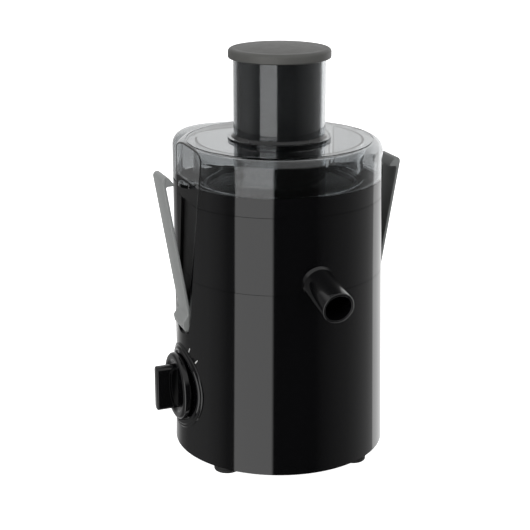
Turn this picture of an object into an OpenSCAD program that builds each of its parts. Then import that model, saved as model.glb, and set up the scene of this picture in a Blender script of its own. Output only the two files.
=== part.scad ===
// Centrifugal juicer with a round motor tower, a lift-off juice collector, a spinning filter
// basket, a clear lid with a feed tube, a rear pulp container and two side latches.
// Millimetres. The origin is on the table under the motor axis. -Y is the spout side, the
// latches are on -X and +X, and the pulp container stands at +Y.

/* [Filter basket] */
// Outer radius of the basket's rim
basket_rim_r = 66; // [60:0.5:74]
// Radius of the basket's floor
basket_floor_r = 52; // [46:0.5:56]
// Height from the basket's floor to the top of its rim
basket_h = 48; // [40:0.5:56]
// Thickness of the perforated sheet
mesh_t = 0.8; // [0.6:0.1:1.2]
// Rows of grater teeth
tooth_rows = 6; // [4:1:8]
// Teeth in each row
teeth_per_row = 9; // [6:1:11]
// Height of a grater tooth
tooth_h = 1.8; // [1.2:0.1:2.4]

/* [Body] */
// Free ring between the basket's rim and the bowl wall
basket_gap = 10; // [6:0.5:14]
// Ring between the bowl wall and the outside of the body
shell_gap = 12; // [11:0.5:14]
// How much wider the housing is at its foot than at the seam
foot_flare = 3.7; // [0:0.1:6]
// How much narrower the collector is at the lid than at the seam
lid_inset = 0.9; // [0:0.1:2]
// Height of the motor housing, from its bottom edge to the seam
housing_h = 157; // [140:0.5:190]
// Height of the juice collector, from the seam to the lid's edge
collector_h = 63.8; // [58:0.1:75]
// Height of the collector's rim inside the lid
rim_h = 16; // [12:0.5:18]
// Wall of the motor housing
housing_wall = 2.6; // [2:0.1:3.2]
// Wall of the juice collector
collector_wall = 2.4; // [2:0.1:3]
// Depth of the deck below the seam
deck_drop = 12; // [11:0.5:14]
// Fall of the bowl's floor towards the spout, in degrees
floor_fall = 5; // [3:0.5:6]

/* [Rear container] */
// How far each side of the rear block lies inside the round body
rear_inset = 18; // [14:0.5:22]
// How far the rear block stands out behind the round body
rear_reach = 29; // [22:0.5:40]
// Corner radius of the rear block in plan
rear_corner = 45; // [30:1:48]
// Height of the shelf that carries the pulp container
shelf_h = 48; // [40:1:60]
// Wall of the pulp container
container_wall = 2; // [1.6:0.1:2.6]
// Depth of the finger grip in the container's back
grip_depth = 8; // [5:0.5:10]

/* [Lid and feed tube] */
// Wall of the lid
lid_wall = 2.2; // [1.8:0.1:2.6]
// Height from the lid's lower edge to its top disc
lid_h = 46.6; // [42:0.1:54]
// Shoulder radius of the lid
shoulder_r = 9; // [6:0.5:11]
// How far the rear part of the lid lies below the disc
rear_lid_drop = 5.4; // [3:0.1:8]
// Edge radius of the rear part of the lid
rear_edge_r = 12; // [8:0.5:14]
// Outer radius of the feed tube
tube_r = 38.6; // [34:0.1:41]
// Wall of the feed tube
tube_wall = 2.4; // [2:0.1:3]
// Height of the feed tube above the disc
tube_h = 67.4; // [55:0.1:80]
// Outer radius of the step round the foot of the tube
step_r = 43.6; // [42:0.1:48]
// Play between the pusher and the tube
pusher_play = 0.4; // [0.3:0.05:0.6]
// Wall of the hollow pusher
pusher_wall = 2.4; // [2:0.1:3]
// Radius of the pusher's cap
cap_r = 42.8; // [40:0.1:46]
// Height of the cap's straight side
cap_h = 7.4; // [5:0.1:10]
// Rise of the cap's domed top
cap_rise = 3; // [1.5:0.1:5]

/* [Spout] */
// Outer radius of the spout
spout_r = 13.4; // [11:0.1:14]
// Wall of the spout
spout_wall = 2.4; // [1.8:0.1:3]
// Length that the spout stands out from the body
spout_reach = 40; // [30:0.5:50]
// Fall of the spout, in degrees
spout_fall = 12.5; // [8:0.5:16]
// Height of the spout's axis above the seam, at the body's surface
spout_rise = 8.5; // [7:0.5:11]

/* [Latches] */
// Width of a latch
latch_w = 27; // [22:0.5:30]
// Thickness of a latch's plate
latch_t = 2.9; // [2.4:0.1:3.6]
// Radius of the round foot of a latch
latch_foot_r = 6.3; // [5:0.1:7]
// Radius of a latch's pin
latch_pin_r = 1.5; // [1.2:0.1:1.8]
// Depth of the latch pivot below the seam
latch_drop = 42; // [36:0.5:50]
// Lean of an open latch from upright, in degrees
latch_open = 9.8; // [6:0.1:14]
// Lean of a closed latch from upright, in degrees
latch_shut = 3.3; // [2:0.1:5]
// Depth of the side flats at the seam
flat_cut = 2.65; // [2:0.05:3.2]
// Lean of the side flats, in degrees
flat_lean = 2.5; // [1.5:0.1:3]
// Depth of the channel for the latch in each flat
channel_cut = 2.4; // [1.5:0.1:2.6]

/* [Control dial] */
// Height of the dial's axis above the housing's bottom edge
dial_up = 57; // [48:0.5:70]
// Radius of the dial
dial_r = 29; // [24:0.5:32]
// Thickness of the dial's disc
dial_t = 7; // [5:0.5:9]
// Width of the bezel round the dial
bezel_w = 8; // [5:0.5:10]
// Height of the bezel above the housing
bezel_rise = 2.5; // [1.5:0.1:3.5]
// Length of the grip bar
grip_len = 40; // [30:1:50]
// Thickness of the grip bar
grip_t = 10; // [7:0.5:13]
// Height of the grip bar above the disc
grip_h = 16; // [10:0.5:20]

/* [Feet and base] */
// Height of the feet below the housing
foot_h = 7; // [4:0.5:10]
// Radius of a foot
foot_r = 11; // [8:0.5:12]
// Distance of the feet's centres inside the body's outer radius
foot_inset = 10; // [9:0.5:18]
// Turn of the foot pattern from the spout, in degrees
foot_turn = -55.8; // [-60:0.1:-30]
// Thickness of the base plate
base_t = 2.4; // [2:0.1:3.5]
// Radius of the cord inlet's bore
inlet_r = 4.2; // [3.5:0.1:5]

/* [Motor] */
// Radius of the motor shaft
shaft_r = 4; // [3:0.1:5]
// Radius of the armature
armature_r = 19; // [16:0.5:22]
// Height of the lamination stack
stack_h = 32; // [24:1:38]
// Air gap between the armature and the stator
air_gap = 0.6; // [0.4:0.1:1]
// Width of the stator across X
stator_w = 84; // [78:1:90]
// Slots in the armature
armature_slots = 12; // [8:1:14]
// Blades of the cooling fan
fan_blades = 9; // [7:1:13]
// Radius of the cooling fan
fan_r = 31; // [26:0.5:34]
// Radius of the drive coupling's core
coupling_r = 8; // [7:0.1:9]
// Lobes of the drive coupling
lobes = 6; // [4:1:8]

/* [Clearances] */
// Gap between a seated piece and its seat
seat = 0.3; // [0.2:0.05:0.5]
// Gap between a moving piece and its neighbour
run = 0.5; // [0.3:0.05:0.8]
// Radial play of a pin or shaft in its bore
pin_play = 0.04; // [0.02:0.01:0.08]
// Gap between the tower's back and the pulp container
back_play = 0.7; // [0.5:0.05:1]

/* [Hidden] */
$fn = 96;

// Radii that follow from the basket outwards
bowl_r = basket_rim_r + basket_gap;
body_r = bowl_r + shell_gap;
back_gap = 3.5;
back_r = basket_rim_r + back_gap + collector_wall;
lid_r = body_r - lid_inset;
rear_half = body_r - rear_inset;
rear_y = body_r + rear_reach;
foot_circle = body_r - foot_inset;
split_y = sqrt(body_r * body_r - rear_half * rear_half);
facet_turn = asin(rear_half / body_r) - acos(back_r / body_r);

// Heights
seam_z = foot_h + housing_h;
skirt_z = seam_z + collector_h;
disc_z = skirt_z + lid_h;
rear_top_z = disc_z - rear_lid_drop;
tube_top_z = disc_z + tube_h;
cap_z = tube_top_z + seat;
deck_z = seam_z - deck_drop;
shelf_z = shelf_h;
rim_z = skirt_z + rim_h;
base_z = foot_h + 2;
far = 400;

// Basket, its drive and what lies round it
basket_z = rim_z - 6 - basket_h;
neck_r = 14;
neck_flange_r = neck_r + 6;
neck_flange_t = 2.5;
neck_spigot_r = neck_r - 3;
seal_r = 9;
seal_t = 6;
neck_top = basket_z - 5;
chimney_r = neck_r + 2.5;
chimney_top = neck_top + 0.5;
skirt_ring_r = chimney_r + collector_wall + 2.6;
hub_r = coupling_r + 6.5;
coupling_z = neck_top + 1.5;
coupling_h = 12.5;
hub_top = coupling_z + coupling_h + 4;
tube_low_z = basket_z + 10;
pusher_low_z = hub_top + 4;
floor_mid_z = seam_z + 6.2;
tab_half = spout_r + 3.4;
tab_wall = 1.47465;
tab_z = seam_z + spout_rise - spout_r / cos(spout_fall) - tab_wall;

// Latch frame: the pivot, and the plate's faces measured from it
pivot_x = body_r - 2.8;
pivot_z = seam_z - latch_drop;
plate_in = -2.3;
plate_out = plate_in + latch_t;
lug_z = skirt_z + 12.5;
lug_t = 2.8;
lug_out = 6.6;
flat_x = body_r - flat_cut - (lug_z - seam_z) * tan(flat_lean);
beak_v = (lug_z + lug_t + 1.6 - pivot_z) / cos(latch_open);
latch_top_v = beak_v + 6.6;
channel_half = latch_w / 2 + 0.8;

// Control dial and switch
dial_z = foot_h + dial_up;
bezel_r = dial_r + bezel_w;
dial_face_x = body_r + 9;
dial_back_x = dial_face_x - dial_t;
spindle_r = 3.5;

// Motor, from the deck downwards
armature_top = deck_z - 40;
armature_low = armature_top - stack_h;
bracket_t = 3;
end_turn = 7;
upper_plate_z = armature_top + 12;
lower_plate_z = armature_low - 36;
bearing_r = 11;
bearing_h = 7;
shaft_low = base_z + base_t + 6;
fan_z = shaft_low + 5;
fan_h = 12;
comm_r = 10.5;
comm_h = 14;
comm_z = armature_low - end_turn - 3 - comm_h;
mount_x = 36;
mount_y = 22;
mount_h = 6;
post_circle = body_r - 12;
post_angles = [259, 349, 157];
rear_post_x = rear_half - 25;
rear_post_y = rear_y - 22;

function body_r_at(z) = z < seam_z
    ? body_r + foot_flare * (seam_z - z) / housing_h
    : body_r - lid_inset * (z - seam_z) / collector_h;

black = [0.06, 0.06, 0.065];
satin = [0.56, 0.57, 0.56];
smoke = [0.45, 0.46, 0.47, 0.45];
steel = [0.72, 0.73, 0.74];
copper = [0.72, 0.42, 0.2];
rubber = [0.1, 0.1, 0.1];

// ---- shared forms ----

module ring(ro, ri, h) {
    difference() {
        cylinder(r = ro, h = h);
        translate([0, 0, -1]) cylinder(r = ri, h = h + 2);
    }
}

module both_sides() {
    children();
    mirror([1, 0, 0]) children();
}

module at_feet(i) {
    rotate([0, 0, -90 + foot_turn + 90 * i]) translate([foot_circle, 0, 0]) children();
}

module at_posts() {
    for (a = post_angles) rotate([0, 0, a]) translate([post_circle, 0, 0]) children();
    for (side = [-1, 1]) translate([side * rear_post_x, rear_post_y, 0])
        rotate([0, 0, side > 0 ? 49 : 131]) children();
}

// Tapered round body, its surface moved inwards by t
module round_form(t, z0, z1) {
    translate([0, 0, z0])
        cylinder(r1 = body_r_at(z0) - t, r2 = body_r_at(z1) - t, h = z1 - z0);
}

// What lies behind the tower, whose back is three flat facets round the bowl, from z0 upwards
module behind(t, z0) {
    flat_y = back_r - t;
    flat_half = flat_y * tan(facet_turn / 2);
    end_x = far / 2;
    end_y = (flat_y - end_x * sin(facet_turn)) / cos(facet_turn);
    translate([0, 0, z0]) linear_extrude(far)
        polygon([[-end_x, end_y], [-flat_half, flat_y], [flat_half, flat_y], [end_x, end_y],
            [end_x, far], [-end_x, far]]);
}

// Plan of the rear block, its outline moved inwards by t
module rear_plan(t) {
    cx = rear_half - rear_corner;
    cy = rear_y - rear_corner;
    for (s = [-1, 1]) translate([s * cx, cy]) circle(rear_corner - t);
    translate([-cx, 0]) square([2 * cx, rear_y - t]);
    translate([t - rear_half, 0]) square([2 * (rear_half - t), cy]);
}

// A prism along X with its outline given in Y and Z, from x0 outwards
module along_x(x0) {
    translate([x0, 0, 0]) rotate([90, 0, 90]) linear_extrude(60) children();
}

// Side flat with a rounded lower end, moved inwards by t
module side_flat(t) {
    end_r = 20 + t;
    low = pivot_z + 10 - seam_z;
    translate([body_r - flat_cut - t, 0, seam_z]) rotate([0, -flat_lean, 0]) along_x(0) {
        translate([0, low]) circle(end_r);
        translate([-end_r, low]) square([2 * end_r, 30]);
        translate([-60, low + 16]) square([120, 240]);
    }
}

// Channel in the flat that takes the shut latch
module side_channel(t, top) {
    half = channel_half + t;
    translate([body_r - flat_cut - channel_cut - t, 0, seam_z]) rotate([0, -flat_lean, 0])
        along_x(0) translate([-half, pivot_z - seam_z]) square([2 * half, top - pivot_z]);
}

// Pocket round the latch's foot and the foot of its plate
module foot_pocket(t) {
    half = channel_half + 0.8 + t;
    translate([pivot_x, 0, pivot_z]) {
        rotate([90, 0, 0]) translate([0, 0, -half])
            cylinder(r = latch_foot_r + 0.7 + t, h = 2 * half);
        translate([plate_in - run - t, -half, 0]) cube([20, 2 * half, 27]);
    }
}

module latch_recess(t) {
    both_sides() {
        side_flat(t);
        side_channel(t, skirt_z);
        foot_pocket(t);
    }
}

// Body above the shelf: round at the front, with a faceted back inside the container
module tower_form(t, z0, z1) {
    difference() {
        round_form(t, z0, z1);
        behind(t, z0 - 1);
        latch_recess(t);
    }
}

// Bowl of the collector, its surface moved inwards by t from the outside of its wall
module bowl_form(t, z0, z1) {
    difference() {
        translate([0, 0, z0]) cylinder(r = bowl_r + collector_wall - t, h = z1 - z0);
        behind(t, z0 - 1);
    }
}

// Runs along the spout's falling axis, with its origin at the body's surface
module on_spout_axis() {
    translate([0, -body_r, seam_z + spout_rise]) rotate([90 + spout_fall, 0, 0]) children();
}

// Lobed outline of the drive coupling, grown by g
module coupling_plan(g) {
    circle(coupling_r + g);
    for (i = [0:lobes - 1]) rotate(i * 360 / lobes)
        translate([0, -1.6 - g]) square([coupling_r + 3 + g, 3.2 + 2 * g]);
}

// ---- motor housing and what stands in it ----

// Housing as a solid from z0 to z1, with its rear block up to the shelf, moved inwards by t
module housing_form(t, z0, z1, shelf) {
    difference() {
        union() {
            round_form(t, z0, z1);
            translate([0, 0, z0]) linear_extrude(shelf - z0) rear_plan(t);
        }
        behind(t, shelf);
        latch_recess(t);
    }
}

module housing_shell() {
    w = housing_wall;
    difference() {
        housing_form(0, foot_h, seam_z - seat, shelf_z);
        housing_form(w, foot_h - 1, deck_z - w, shelf_z - w);
        tower_form(w, deck_z, seam_z + 1);
    }
}

module motor_housing() color(black) {
    difference() {
        union() {
            housing_shell();
            for (x = [-1, 1], y = [-1, 1])
                translate([x * mount_x, y * mount_y, upper_plate_z + bracket_t + mount_h])
                    cylinder(r = 5, h = deck_z - upper_plate_z - bracket_t - mount_h - 1);
            at_posts() {
                translate([0, 0, base_z + base_t]) cylinder(r = 4.5, h = 22);
                translate([0, -1, base_z + base_t]) cube([13.6, 2, 20]);
            }
            intersection() {
                translate([-body_r - 5, 0, dial_z]) rotate([0, 90, 0])
                    cylinder(r = dial_r + 3, h = 12);
                round_form(0.5, foot_h + 1, seam_z - 1);
            }
        }
        // seat of the drive neck in the deck
        translate([0, 0, deck_z - 20]) cylinder(r = neck_spigot_r + pin_play, h = 40);
        // notch round the spout's root
        translate([-tab_half, -body_r - 10, tab_z - seat]) cube([2 * tab_half, 26, 20]);
        // well for the dial, hole for its spindle
        translate([-dial_back_x + 0.8, 0, dial_z]) rotate([0, -90, 0])
            cylinder(r = dial_r + 1, h = 20);
        translate([-body_r - 5, 0, dial_z]) rotate([0, 90, 0])
            cylinder(r = spindle_r + 0.5, h = 20);
        // screw holes, cord inlet, latch pins
        at_posts() translate([0, 0, base_z]) cylinder(r = 1.4, h = 18);
        translate([30, rear_y + 1, foot_h + 19]) rotate([90, 0, 0])
            cylinder(r = inlet_r + 3.8, h = 12);
        both_sides() translate([pivot_x, latch_w / 2 + 4.6, pivot_z]) rotate([90, 0, 0])
            cylinder(r = latch_pin_r + pin_play, h = latch_w + 9.2);
    }
}

// Flanged sleeve that leads the shaft up through the collector's chimney
module drive_neck() color([0.09, 0.09, 0.09]) {
    spigot_h = housing_wall + 1.5;
    difference() {
        union() {
            translate([0, 0, deck_z - spigot_h])
                cylinder(r = neck_spigot_r, h = spigot_h + neck_flange_t);
            translate([0, 0, deck_z]) cylinder(r = neck_flange_r, h = neck_flange_t);
            translate([0, 0, deck_z]) cylinder(r = neck_r, h = neck_top - deck_z);
        }
        translate([0, 0, deck_z - 20]) cylinder(r = shaft_r + 2.5, h = far);
        translate([0, 0, neck_top - seal_t]) cylinder(r = seal_r + pin_play, h = seal_t + 1);
    }
}

module base_plate() color([0.09, 0.09, 0.09]) {
    difference() {
        union() {
            round_form(housing_wall + seat, base_z, base_z + base_t);
            translate([0, 0, base_z]) linear_extrude(base_t) rear_plan(housing_wall + seat);
        }
        for (a = [0:12:359], r = [16, 24])
            rotate([0, 0, a]) translate([r, -1, base_z - 1]) cube([6, 2, base_t + 2]);
        for (i = [0:3]) at_feet(i) translate([0, 0, base_z - 1])
            cylinder(r = 3.6, h = base_t + 2);
        at_posts() translate([0, 0, base_z - 1]) cylinder(r = 1.9, h = base_t + 2);
    }
}

module foot(i) color(rubber) {
    at_feet(i) {
        cylinder(r1 = foot_r - 1.2, r2 = foot_r, h = 1.2);
        translate([0, 0, 1.2]) cylinder(r = foot_r, h = foot_h - 1.6);
        translate([0, 0, foot_h - 0.5]) cylinder(r = foot_r - 3, h = base_z - foot_h + 0.5);
        translate([0, 0, base_z - 0.5]) cylinder(r = 3.5, h = base_t + 0.5);
        translate([0, 0, base_z + base_t]) cylinder(r1 = 4.6, r2 = 3, h = 2.4);
    }
}

module base_screws() color(steel) {
    at_posts() {
        difference() {
            translate([0, 0, base_z - 2]) cylinder(r = 3.4, h = 2);
            translate([-2.4, -0.4, base_z - 2.1]) cube([4.8, 0.8, 1]);
            translate([-0.4, -2.4, base_z - 2.1]) cube([0.8, 4.8, 1]);
        }
        translate([0, 0, base_z - 0.5]) cylinder(r = 1.35, h = 14);
    }
}

// ---- motor, fixed parts ----

module stator_plan() {
    difference() {
        intersection() {
            square([stator_w, stator_w - 18], center = true);
            circle(stator_w / 2 + 4);
        }
        circle(armature_r + air_gap);
        for (x = [-1, 1], y = [-1, 1])
            translate([x * 22, y * 24]) square([8.6, 8.6], center = true);
        for (x = [-1, 1]) translate([x * (stator_w / 2 - 5), 0]) circle(2.2);
    }
}

module stator_core() color([0.45, 0.46, 0.48]) {
    translate([0, 0, armature_low]) linear_extrude(stack_h) stator_plan();
}

module field_windings() color(copper) {
    for (y = [-1, 1]) translate([0, y * 24, armature_low - 8]) difference() {
        translate([-26, -4, 0]) cube([52, 8, stack_h + 16]);
        translate([-18, -5, 7.7]) cube([36, 10, stack_h + 0.6]);
    }
}

module bracket_plan() {
    intersection() {
        square([stator_w + 6, 62], center = true);
        circle(48);
    }
}

module bracket_upper() color(steel) {
    difference() {
        union() {
            translate([0, 0, upper_plate_z]) linear_extrude(bracket_t) bracket_plan();
            for (x = [-1, 1]) translate([x * 37.5 - 2.5, -12, armature_top])
                cube([5, 24, upper_plate_z - armature_top + 1]);
            translate([0, 0, upper_plate_z]) cylinder(r = bearing_r + 2.5, h = bearing_h + 1.5);
        }
        translate([0, 0, upper_plate_z - 1]) cylinder(r = bearing_r - 3, h = 20);
        translate([0, 0, upper_plate_z + 1.5]) cylinder(r = bearing_r + 0.02, h = bearing_h + 1);
        for (x = [-1, 1], y = [-1, 1]) translate([x * 20, y * 20, upper_plate_z - 1])
            cylinder(r = 4, h = bracket_t + 2);
    }
}

module bracket_lower() color(steel) {
    difference() {
        union() {
            translate([0, 0, lower_plate_z]) linear_extrude(bracket_t) bracket_plan();
            for (x = [-1, 1]) translate([x * 37.5 - 2.5, -12, lower_plate_z + 1])
                cube([5, 24, armature_low - lower_plate_z - 1]);
            translate([0, 0, lower_plate_z + bracket_t - bearing_h - 1.5])
                cylinder(r = bearing_r + 2.5, h = bearing_h + 1.5);
        }
        translate([0, 0, lower_plate_z - 20]) cylinder(r = bearing_r - 3, h = 60);
        translate([0, 0, lower_plate_z + bracket_t - bearing_h - 2])
            cylinder(r = bearing_r + 0.02, h = bearing_h + 0.5);
        for (x = [-1, 1], y = [-1, 1]) translate([x * 22, y * 10, lower_plate_z - 1])
            cylinder(r = 4, h = bracket_t + 2);
    }
}

module bearing_upper() color([0.8, 0.8, 0.82]) {
    translate([0, 0, upper_plate_z + 1.5]) ring(bearing_r, shaft_r + pin_play, bearing_h);
}

module bearing_lower() color([0.8, 0.8, 0.82]) {
    translate([0, 0, lower_plate_z + bracket_t - bearing_h - 1.5])
        ring(bearing_r, shaft_r + pin_play, bearing_h);
}

module motor_mounts() color(rubber) {
    for (x = [-1, 1], y = [-1, 1])
        translate([x * mount_x, y * mount_y, upper_plate_z + bracket_t])
            cylinder(r = 6.5, h = mount_h);
}

module brush_holders() color([0.75, 0.6, 0.25]) {
    for (s = [0, 180]) rotate([0, 0, s]) difference() {
        union() {
            translate([-5, 14, comm_z + 2]) cube([10, 16, 10]);
            translate([-3, 22, lower_plate_z + bracket_t])
                cube([6, 6, comm_z + 3 - lower_plate_z - bracket_t]);
        }
        translate([-3.7, 13, comm_z + 3.3]) cube([7.4, 15, 7.4]);
    }
}

module carbon_brushes() color([0.15, 0.15, 0.16]) {
    for (s = [0, 180]) rotate([0, 0, s])
        translate([-3.5, comm_r + 0.3, comm_z + 3.5]) cube([7, 16.5, 7]);
}

module shaft_seal() color(rubber) {
    translate([0, 0, neck_top - seal_t]) ring(seal_r, shaft_r + seat, seal_t - 0.2);
}

module rotary_switch() color([0.85, 0.82, 0.74]) {
    translate([-body_r + 7, 0, dial_z]) {
        difference() {
            union() {
                translate([0, -14, -15]) cube([20, 28, 30]);
                rotate([0, -90, 0]) cylinder(r = spindle_r - 0.1, h = dial_back_x - body_r + 10);
            }
            for (y = [-9, 0, 9]) translate([18, y - 1, -12]) cube([3, 2, 24]);
        }
    }
}

module interlock_switch() color([0.85, 0.82, 0.74]) {
    translate([-66, -6, deck_z - housing_wall - 16]) cube([22, 12, 16]);
}

module suppressor() color([0.8, 0.7, 0.2]) {
    translate([0, 84, base_z + base_t]) cylinder(r = 9, h = 22);
}

module terminal_block() color([0.9, 0.9, 0.88]) {
    translate([-36, 66, base_z + base_t]) difference() {
        cube([20, 12, 12]);
        for (x = [5, 15]) translate([x, 6, 6]) cylinder(r = 2, h = 8);
    }
}

module cord_inlet() color(rubber) {
    translate([30, rear_y + 2.4, foot_h + 19]) rotate([90, 0, 0]) difference() {
        union() {
            cylinder(r = inlet_r + 3.7, h = 10);
            cylinder(r1 = inlet_r + 4, r2 = inlet_r + 5.2, h = 1.2);
            translate([0, 0, 1.2]) cylinder(r = inlet_r + 5.2, h = 1.15);
        }
        translate([0, 0, -1]) cylinder(r = inlet_r, h = 12);
    }
}

module latch_pin() color(steel) {
    translate([pivot_x, latch_w / 2 + 4.4, pivot_z]) rotate([90, 0, 0])
        cylinder(r = latch_pin_r, h = latch_w + 8.8);
}

module latch_pin_left() { mirror([1, 0, 0]) latch_pin(); }
module latch_pin_right() { latch_pin(); }

// ---- motor, turning parts ----

module motor_shaft() color(steel) {
    translate([0, 0, shaft_low]) cylinder(r = shaft_r, h = coupling_z + coupling_h - shaft_low);
    translate([0, 0, coupling_z + coupling_h]) cylinder(r1 = shaft_r, r2 = shaft_r - 1.2, h = 1.2);
}

module armature_slot_row(w, r0, r1) {
    for (i = [0:armature_slots - 1]) rotate(i * 360 / armature_slots)
        translate([r0, -w / 2]) square([r1 - r0, w]);
}

module armature_core() color([0.45, 0.46, 0.48]) {
    translate([0, 0, armature_low]) linear_extrude(stack_h) difference() {
        circle(armature_r);
        armature_slot_row(3.2, armature_r - 8, armature_r - 1.8);
        armature_slot_row(1.4, armature_r - 2, armature_r + 1);
        circle(shaft_r + 0.02);
    }
}

module armature_winding() color(copper) {
    translate([0, 0, armature_low - end_turn]) linear_extrude(stack_h + 2 * end_turn)
        armature_slot_row(3, armature_r - 7.9, armature_r - 1.9);
    for (z = [armature_low - end_turn, armature_top + 0.2])
        translate([0, 0, z]) ring(armature_r - 2.5, shaft_r + 2.5, end_turn - 0.2);
}

module commutator() color([0.78, 0.5, 0.28]) {
    translate([0, 0, comm_z]) difference() {
        cylinder(r = comm_r, h = comm_h);
        translate([0, 0, -1]) cylinder(r = shaft_r + 0.02, h = comm_h + 2);
        for (a = [0:15:359]) rotate([0, 0, a])
            translate([comm_r - 1, -0.3, -1]) cube([2, 0.6, comm_h - 1.5]);
    }
}

module cooling_fan() color([0.85, 0.85, 0.83]) {
    translate([0, 0, fan_z]) difference() {
        union() {
            cylinder(r = fan_r, h = 1.6);
            cylinder(r = shaft_r + 3.5, h = fan_h);
            intersection() {
                for (i = [0:fan_blades - 1]) rotate([0, 0, i * 360 / fan_blades])
                    translate([fan_r / 2 + 1, 15, 0]) difference() {
                        cylinder(r = 21.4, h = fan_h);
                        translate([0, 0, -1]) cylinder(r = 20, h = fan_h + 2);
                        translate([-40, 0, -1]) cube([80, 40, fan_h + 2]);
                        translate([-40, -40, -1]) cube([40, 80, fan_h + 2]);
                    }
                ring(fan_r - 0.5, shaft_r + 5, fan_h);
            }
        }
        translate([0, 0, -1]) cylinder(r = shaft_r + 0.02, h = fan_h + 2);
    }
}

module drive_coupling() color([0.2, 0.2, 0.21]) {
    translate([0, 0, coupling_z]) difference() {
        linear_extrude(coupling_h) coupling_plan(0);
        translate([0, 0, -1]) cylinder(r = shaft_r + 0.02, h = coupling_h + 2);
    }
}

// ---- control dial ----

module dial_bezel() color(black) {
    difference() {
        intersection() {
            translate([-body_r + 20, 0, dial_z]) rotate([0, -90, 0])
                cylinder(r = bezel_r, h = 40);
            round_form(-bezel_rise, foot_h + 1, seam_z - 1);
        }
        round_form(-0.1, foot_h, seam_z);
        translate([-body_r + 20, 0, dial_z]) rotate([0, -90, 0])
            cylinder(r = dial_r + 1, h = 40);
    }
}

module control_dial() color(black) {
    translate([-dial_back_x, 0, dial_z]) rotate([0, -90, 0]) difference() {
        union() {
            cylinder(r = dial_r, h = dial_t - 1.2);
            translate([0, 0, dial_t - 1.2]) cylinder(r1 = dial_r, r2 = dial_r - 1.2, h = 1.2);
            linear_extrude(dial_t + grip_h) {
                square([grip_len - grip_t, grip_t], center = true);
                for (s = [-1, 1]) translate([s * (grip_len - grip_t) / 2, 0]) circle(grip_t / 2);
            }
        }
        translate([0, 0, -1]) cylinder(r = spindle_r, h = dial_t);
    }
}

// ---- juice collector and spout ----

module collector_rim(t, z0, z1) {
    difference() {
        translate([0, 0, z0]) cylinder(r = lid_r - lid_wall - run - t, h = z1 - z0);
        both_sides() side_flat(lid_wall + run + t);
        translate([-far / 2, split_y - t - 3, z0 - 1]) cube([far, far, z1 - z0 + 2]);
    }
}

module juice_collector() color(black) {
    difference() {
        union() {
            // outer skirt, with a tab below the seam round the spout's root
            difference() {
                tower_form(0, tab_z, skirt_z);
                tower_form(collector_wall, tab_z - 1, skirt_z - collector_wall);
                difference() {
                    translate([0, 0, tab_z - 1]) cylinder(r = far, h = seam_z - tab_z + 1);
                    translate([seat - tab_half, -body_r - 10, tab_z - 2])
                        cube([2 * (tab_half - seat), 40, 20]);
                }
            }
            // bowl, whose back stops at the seam
            difference() {
                bowl_form(0, floor_mid_z - 12, skirt_z);
                translate([-far / 2, split_y - 12, seam_z - 30]) cube([far, far, 30]);
            }
            // rim inside the lid
            difference() {
                collector_rim(0, skirt_z - 1, rim_z);
                collector_rim(2, skirt_z - 2, rim_z + 1);
                translate([-far / 2, split_y - 5, skirt_z]) cube([far, far, 60]);
            }
            // ring that stands on the deck
            translate([0, 0, deck_z + seat]) cylinder(r = 34, h = 20);
        }
        // inside of the bowl, above its falling floor
        intersection() {
            bowl_form(collector_wall, seam_z - 20, skirt_z + 1);
            translate([0, 0, floor_mid_z]) rotate([floor_fall, 0, 0])
                translate([-far / 2, -far / 2, 0]) cube([far, far, 120]);
            difference() {
                cylinder(r = far, h = far);
                cylinder(r = chimney_r + collector_wall, h = chimney_top);
            }
        }
        // underside of the falling floor
        difference() {
            translate([0, 0, floor_mid_z - collector_wall]) rotate([floor_fall, 0, 0])
                translate([-far / 2, -far / 2, -60]) cube([far, far, 60]);
            ring(34, 31.6, far);
            difference() {
                cylinder(r = far, h = far);
                cylinder(r = back_r - collector_wall, h = far);
            }
        }
        // chimney
        cylinder(r = chimney_r, h = far);
        // hole for the spout, from the bowl's inside outwards
        difference() {
            on_spout_axis() translate([0, 0, -30]) cylinder(r = spout_r + 0.1, h = 60);
            cylinder(r = bowl_r, h = far);
        }
    }
}

module juice_spout() color(black) {
    difference() {
        union() {
            difference() {
                on_spout_axis() translate([0, 0, -30]) cylinder(r = spout_r, h = 30 + spout_reach);
                cylinder(r = bowl_r, h = far);
            }
            difference() {
                on_spout_axis() translate([0, 0, -5])
                    cylinder(r1 = spout_r + 4, r2 = spout_r, h = 8);
                translate([0, 0, seam_z - 30]) cylinder(r = body_r + 0.1, h = 90);
            }
        }
        on_spout_axis() translate([0, 0, -40]) cylinder(r = spout_r - spout_wall, h = 60 + spout_reach);
    }
}

// ---- filter basket ----

module basket_base() color([0.13, 0.13, 0.135]) {
    difference() {
        union() {
            translate([0, 0, basket_z]) cylinder(r = basket_floor_r, h = 3);
            translate([0, 0, basket_z - 10])
                ring(skirt_ring_r + 2, skirt_ring_r, 10.5);
            translate([0, 0, coupling_z - 0.8]) cylinder(r = hub_r, h = hub_top - coupling_z - 1);
            translate([0, 0, hub_top - 2])
                cylinder(r1 = hub_r, r2 = hub_r - 3, h = 2);
        }
        translate([0, 0, coupling_z - 2]) linear_extrude(coupling_h + 3.6) coupling_plan(0.35);
    }
}

module filter_mesh() color(steel) {
    h = basket_h - 5;
    translate([0, 0, basket_z + 1]) difference() {
        cylinder(r1 = basket_floor_r + 0.2 + mesh_t, r2 = basket_rim_r - 1.4, h = h);
        translate([0, 0, -0.01])
            cylinder(r1 = basket_floor_r + 0.2, r2 = basket_rim_r - 1.4 - mesh_t, h = h + 0.02);
    }
}

module basket_rim() color([0.16, 0.16, 0.165]) {
    z = basket_z + basket_h - 4;
    difference() {
        union() {
            translate([0, 0, z]) cylinder(r = basket_rim_r, h = 3);
            translate([0, 0, z + 3]) cylinder(r1 = basket_rim_r, r2 = basket_rim_r - 1, h = 1);
        }
        translate([0, 0, z - 1]) cylinder(r = basket_rim_r - 3.4, h = 6);
    }
}

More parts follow.
